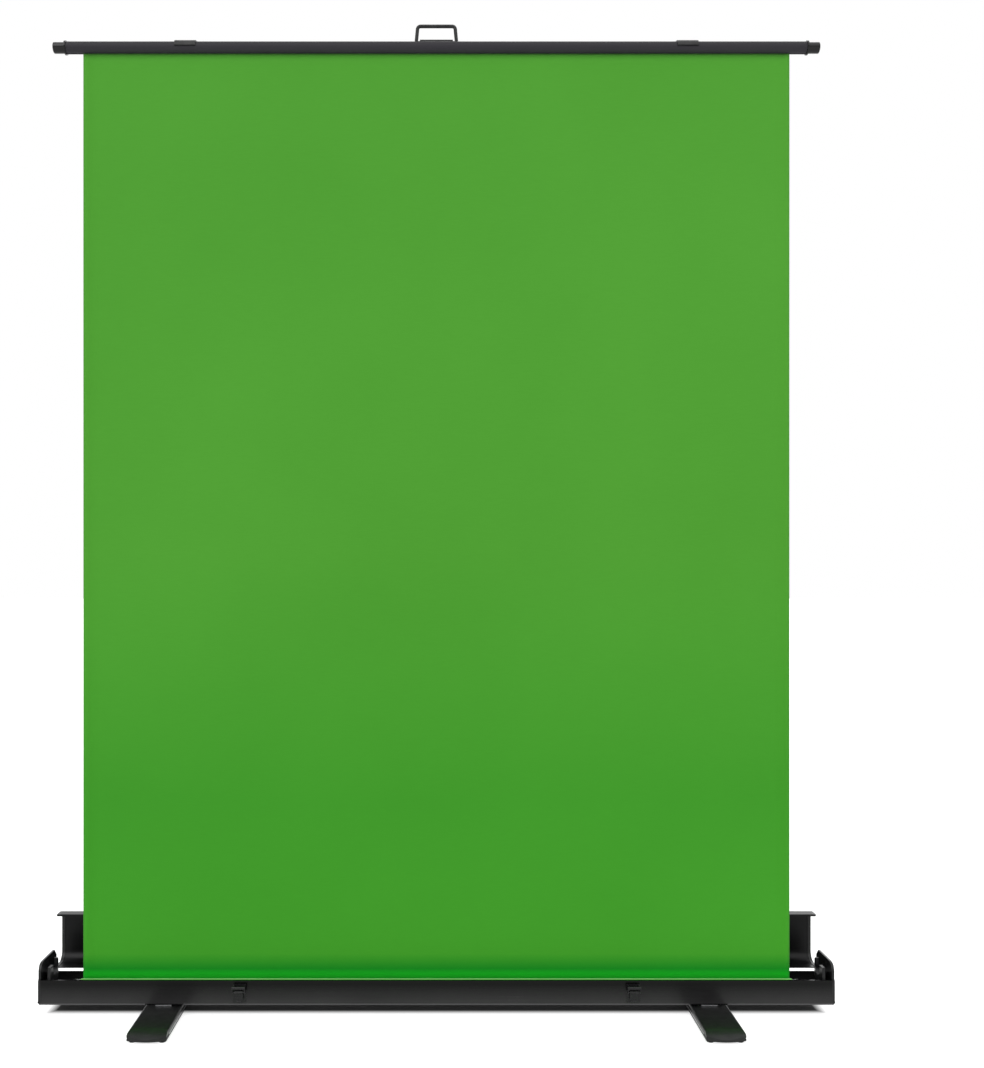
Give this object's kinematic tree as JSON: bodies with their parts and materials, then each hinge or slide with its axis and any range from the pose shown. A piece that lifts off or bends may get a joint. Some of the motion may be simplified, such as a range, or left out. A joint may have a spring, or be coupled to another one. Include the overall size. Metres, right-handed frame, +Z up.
{
  "type": "collapsible backdrop panel",
  "caption": "Pull-up green backdrop cloth on a spring roller in a long floor case, raised by crossing folding arms with gas struts, with a hinged lid and swivel feet.",
  "frame": {"origin": "on the floor under the middle of the case", "axes": "+X along the case to the right as seen from the cloth side, +Y from the cloth to the back, +Z up"},
  "size_m": [1.645, 0.4, 2.0715],
  "materials": {
    "case_metal": "satin dark grey anodised extrusion",
    "frame_metal": "satin dark grey anodised tube",
    "black_plastic": "fine-grained moulded black",
    "gloss_plastic": "smooth glossy black",
    "black_steel": "powder-coated black steel",
    "foot_metal": "matte black painted extrusion",
    "bright_steel": "zinc-plated",
    "rod_chrome": "polished rod",
    "pad_rubber": "matte",
    "green_cloth": "plain-woven matte polyester"
  },
  "bodies": {
    "case_base": {"base_tray": "case_metal", "left_end_cap": "black_plastic", "right_end_cap": "black_plastic", "arm_base_brackets": "black_steel", "strut_base_brackets": "black_steel", "arm_base_pins": "bright_steel", "lid_hinge_ears": "black_plastic", "lid_hinge_pins": "bright_steel", "latch_plates": "black_steel", "roller_axle": "bright_steel", "roller_spring": "bright_steel", "foot_bolts": "bright_steel", "foot_washers": "bright_steel", "screen_fabric": "green_cloth"},
    "roller": {"roller_tube": "bright_steel", "roller_plugs": "black_plastic", "screen_wraps": "green_cloth"},
    "left_foot": {"left_foot_bar": "foot_metal", "left_foot_ends": "black_plastic", "left_foot_pads": "pad_rubber"},
    "right_foot": {"right_foot_bar": "foot_metal", "right_foot_ends": "black_plastic", "right_foot_pads": "pad_rubber"},
    "left_latch": {"left_latch_lever": "black_steel"},
    "left_claw": {"left_latch_claw": "black_steel"},
    "right_latch": {"right_latch_lever": "black_steel"},
    "right_claw": {"right_latch_claw": "black_steel"},
    "lid": {"lid_shell": "case_metal", "lid_hinge_lugs": "black_plastic", "lid_end_trims": "black_plastic", "latch_catches": "black_steel", "carry_brackets": "black_plastic"},
    "carry_handle": {"carry_grip": "gloss_plastic"},
    "lower_left_arm": {"lower_left_tube": "frame_metal", "lower_left_fittings": "black_plastic", "lower_left_clamp": "black_steel", "left_elbow_pin": "bright_steel"},
    "lower_right_arm": {"lower_right_tube": "frame_metal", "lower_right_fittings": "black_plastic", "lower_right_clamp": "black_steel", "right_elbow_pin": "bright_steel"},
    "upper_left_arm": {"upper_left_tube": "frame_metal", "upper_left_fittings": "black_plastic"},
    "upper_right_arm": {"upper_right_tube": "frame_metal", "upper_right_fittings": "black_plastic", "arm_clip": "black_plastic"},
    "top_bar": {"top_bar_tube": "frame_metal", "bar_end_plugs": "gloss_plastic", "arm_clamps": "black_steel", "clamp_pins": "bright_steel", "handle_bracket": "black_plastic", "screen_welt": "green_cloth"},
    "bail": {"bail_handle": "black_steel"},
    "left_strut_body": {"left_strut_cylinder": "black_steel"},
    "left_strut_piston": {"left_strut_rod": "rod_chrome", "left_strut_end": "black_plastic"},
    "right_strut_body": {"right_strut_cylinder": "black_steel"},
    "right_strut_piston": {"right_strut_rod": "rod_chrome", "right_strut_end": "black_plastic"}
  },
  "joints": [
    {"name": "frame_fold", "type": "hinge", "parent": "case_base", "child": "lower_left_arm", "pos_m": [-0.525, 0.0095, 0.04], "axis": [0, 1, 0], "range_deg": [0, 56.74], "deforming": ["screen_fabric"]},
    {"name": "right_base_pivot", "type": "hinge", "parent": "case_base", "child": "lower_right_arm", "pos_m": [0.525, 0.025, 0.04], "axis": [0, 1, 0], "range_deg": [-56.74, 0]},
    {"name": "left_elbow", "type": "hinge", "parent": "lower_left_arm", "child": "upper_left_arm", "pos_m": [0.093, 0.0095, 1.03265], "axis": [0, 1, 0], "range_deg": [-113.48, 0]},
    {"name": "right_elbow", "type": "hinge", "parent": "lower_right_arm", "child": "upper_right_arm", "pos_m": [-0.093, 0.025, 1.03265], "axis": [0, 1, 0], "range_deg": [0, 113.48]},
    {"name": "left_top_pivot", "type": "hinge", "parent": "upper_left_arm", "child": "top_bar", "pos_m": [-0.525, 0.0095, 2.0253], "axis": [0, 1, 0], "range_deg": [0, 56.74]},
    {"name": "left_strut_pivot", "type": "hinge", "parent": "case_base", "child": "left_strut_body", "pos_m": [0.38, -0.006, 0.04], "axis": [0, 1, 0], "range_deg": [-29.06, 0]},
    {"name": "right_strut_pivot", "type": "hinge", "parent": "case_base", "child": "right_strut_body", "pos_m": [-0.38, 0.0405, 0.04], "axis": [0, 1, 0], "range_deg": [0, 29.06]},
    {"name": "left_strut_slide", "type": "slide", "parent": "left_strut_body", "child": "left_strut_piston", "axis": [0.8753, 0, -0.4837], "range_m": [-0.00001, 0.29186]},
    {"name": "right_strut_slide", "type": "slide", "parent": "right_strut_body", "child": "right_strut_piston", "axis": [-0.8753, 0, -0.4837], "range_m": [-0.00001, 0.29186]},
    {"name": "roller_turn", "type": "hinge", "parent": "case_base", "child": "roller", "pos_m": [0, -0.0355, 0.0565], "axis": [1, 0, 0], "range_deg": [-6429.22, 0.1]},
    {"name": "lid_hinge", "type": "hinge", "parent": "case_base", "child": "lid", "pos_m": [0, 0.052, 0.066], "axis": [1, 0, 0], "range_deg": [0, 6.5]},
    {"name": "carry_swing", "type": "hinge", "parent": "lid", "child": "carry_handle", "pos_m": [0, 0.1097, 0.137], "axis": [1, 0, 0], "range_deg": [0, 100]},
    {"name": "bail_fold", "type": "hinge", "parent": "top_bar", "child": "bail", "pos_m": [0, -0.008, 2.0345], "axis": [1, 0, 0], "range_deg": [0, 90]},
    {"name": "left_latch_lift", "type": "hinge", "parent": "case_base", "child": "left_latch", "pos_m": [-0.406, -0.066, 0.062], "axis": [-1, 0, 0], "range_deg": [0, 110]},
    {"name": "right_latch_lift", "type": "hinge", "parent": "case_base", "child": "right_latch", "pos_m": [0.406, -0.066, 0.062], "axis": [-1, 0, 0], "range_deg": [0, 110]},
    {"name": "left_claw_turn", "type": "hinge", "parent": "left_latch", "child": "left_claw", "pos_m": [-0.406, -0.07, 0.056], "axis": [-1, 0, 0], "range_deg": [-110, 0]},
    {"name": "right_claw_turn", "type": "hinge", "parent": "right_latch", "child": "right_claw", "pos_m": [0.406, -0.07, 0.056], "axis": [-1, 0, 0], "range_deg": [-110, 0]},
    {"name": "left_foot_swivel", "type": "hinge", "parent": "case_base", "child": "left_foot", "pos_m": [-0.565, 0, 0.025], "axis": [0, 0, 1], "range_deg": [0, 90]},
    {"name": "right_foot_swivel", "type": "hinge", "parent": "case_base", "child": "right_foot", "pos_m": [0.565, 0, 0.025], "axis": [0, 0, 1], "range_deg": [0, 90]}
  ],
  "couplings": [
    {"joint": "right_base_pivot", "follows": "frame_fold", "ratio": -1},
    {"joint": "left_elbow", "follows": "frame_fold", "ratio": -2},
    {"joint": "right_elbow", "follows": "frame_fold", "ratio": 2},
    {"joint": "left_top_pivot", "follows": "frame_fold", "ratio": 1},
    {"joint": "left_strut_pivot", "follows": "frame_fold", "ratio": -0.51221},
    {"joint": "right_strut_pivot", "follows": "frame_fold", "ratio": 0.51221},
    {"joint": "left_strut_slide", "follows": "frame_fold", "m_per_rad": 0.29471},
    {"joint": "right_strut_slide", "follows": "frame_fold", "m_per_rad": 0.29471},
    {"joint": "roller_turn", "follows": "frame_fold", "ratio": -113.31},
    {"joint": "left_claw_turn", "follows": "left_latch_lift", "ratio": -1},
    {"joint": "right_claw_turn", "follows": "right_latch_lift", "ratio": -1}
  ]
}
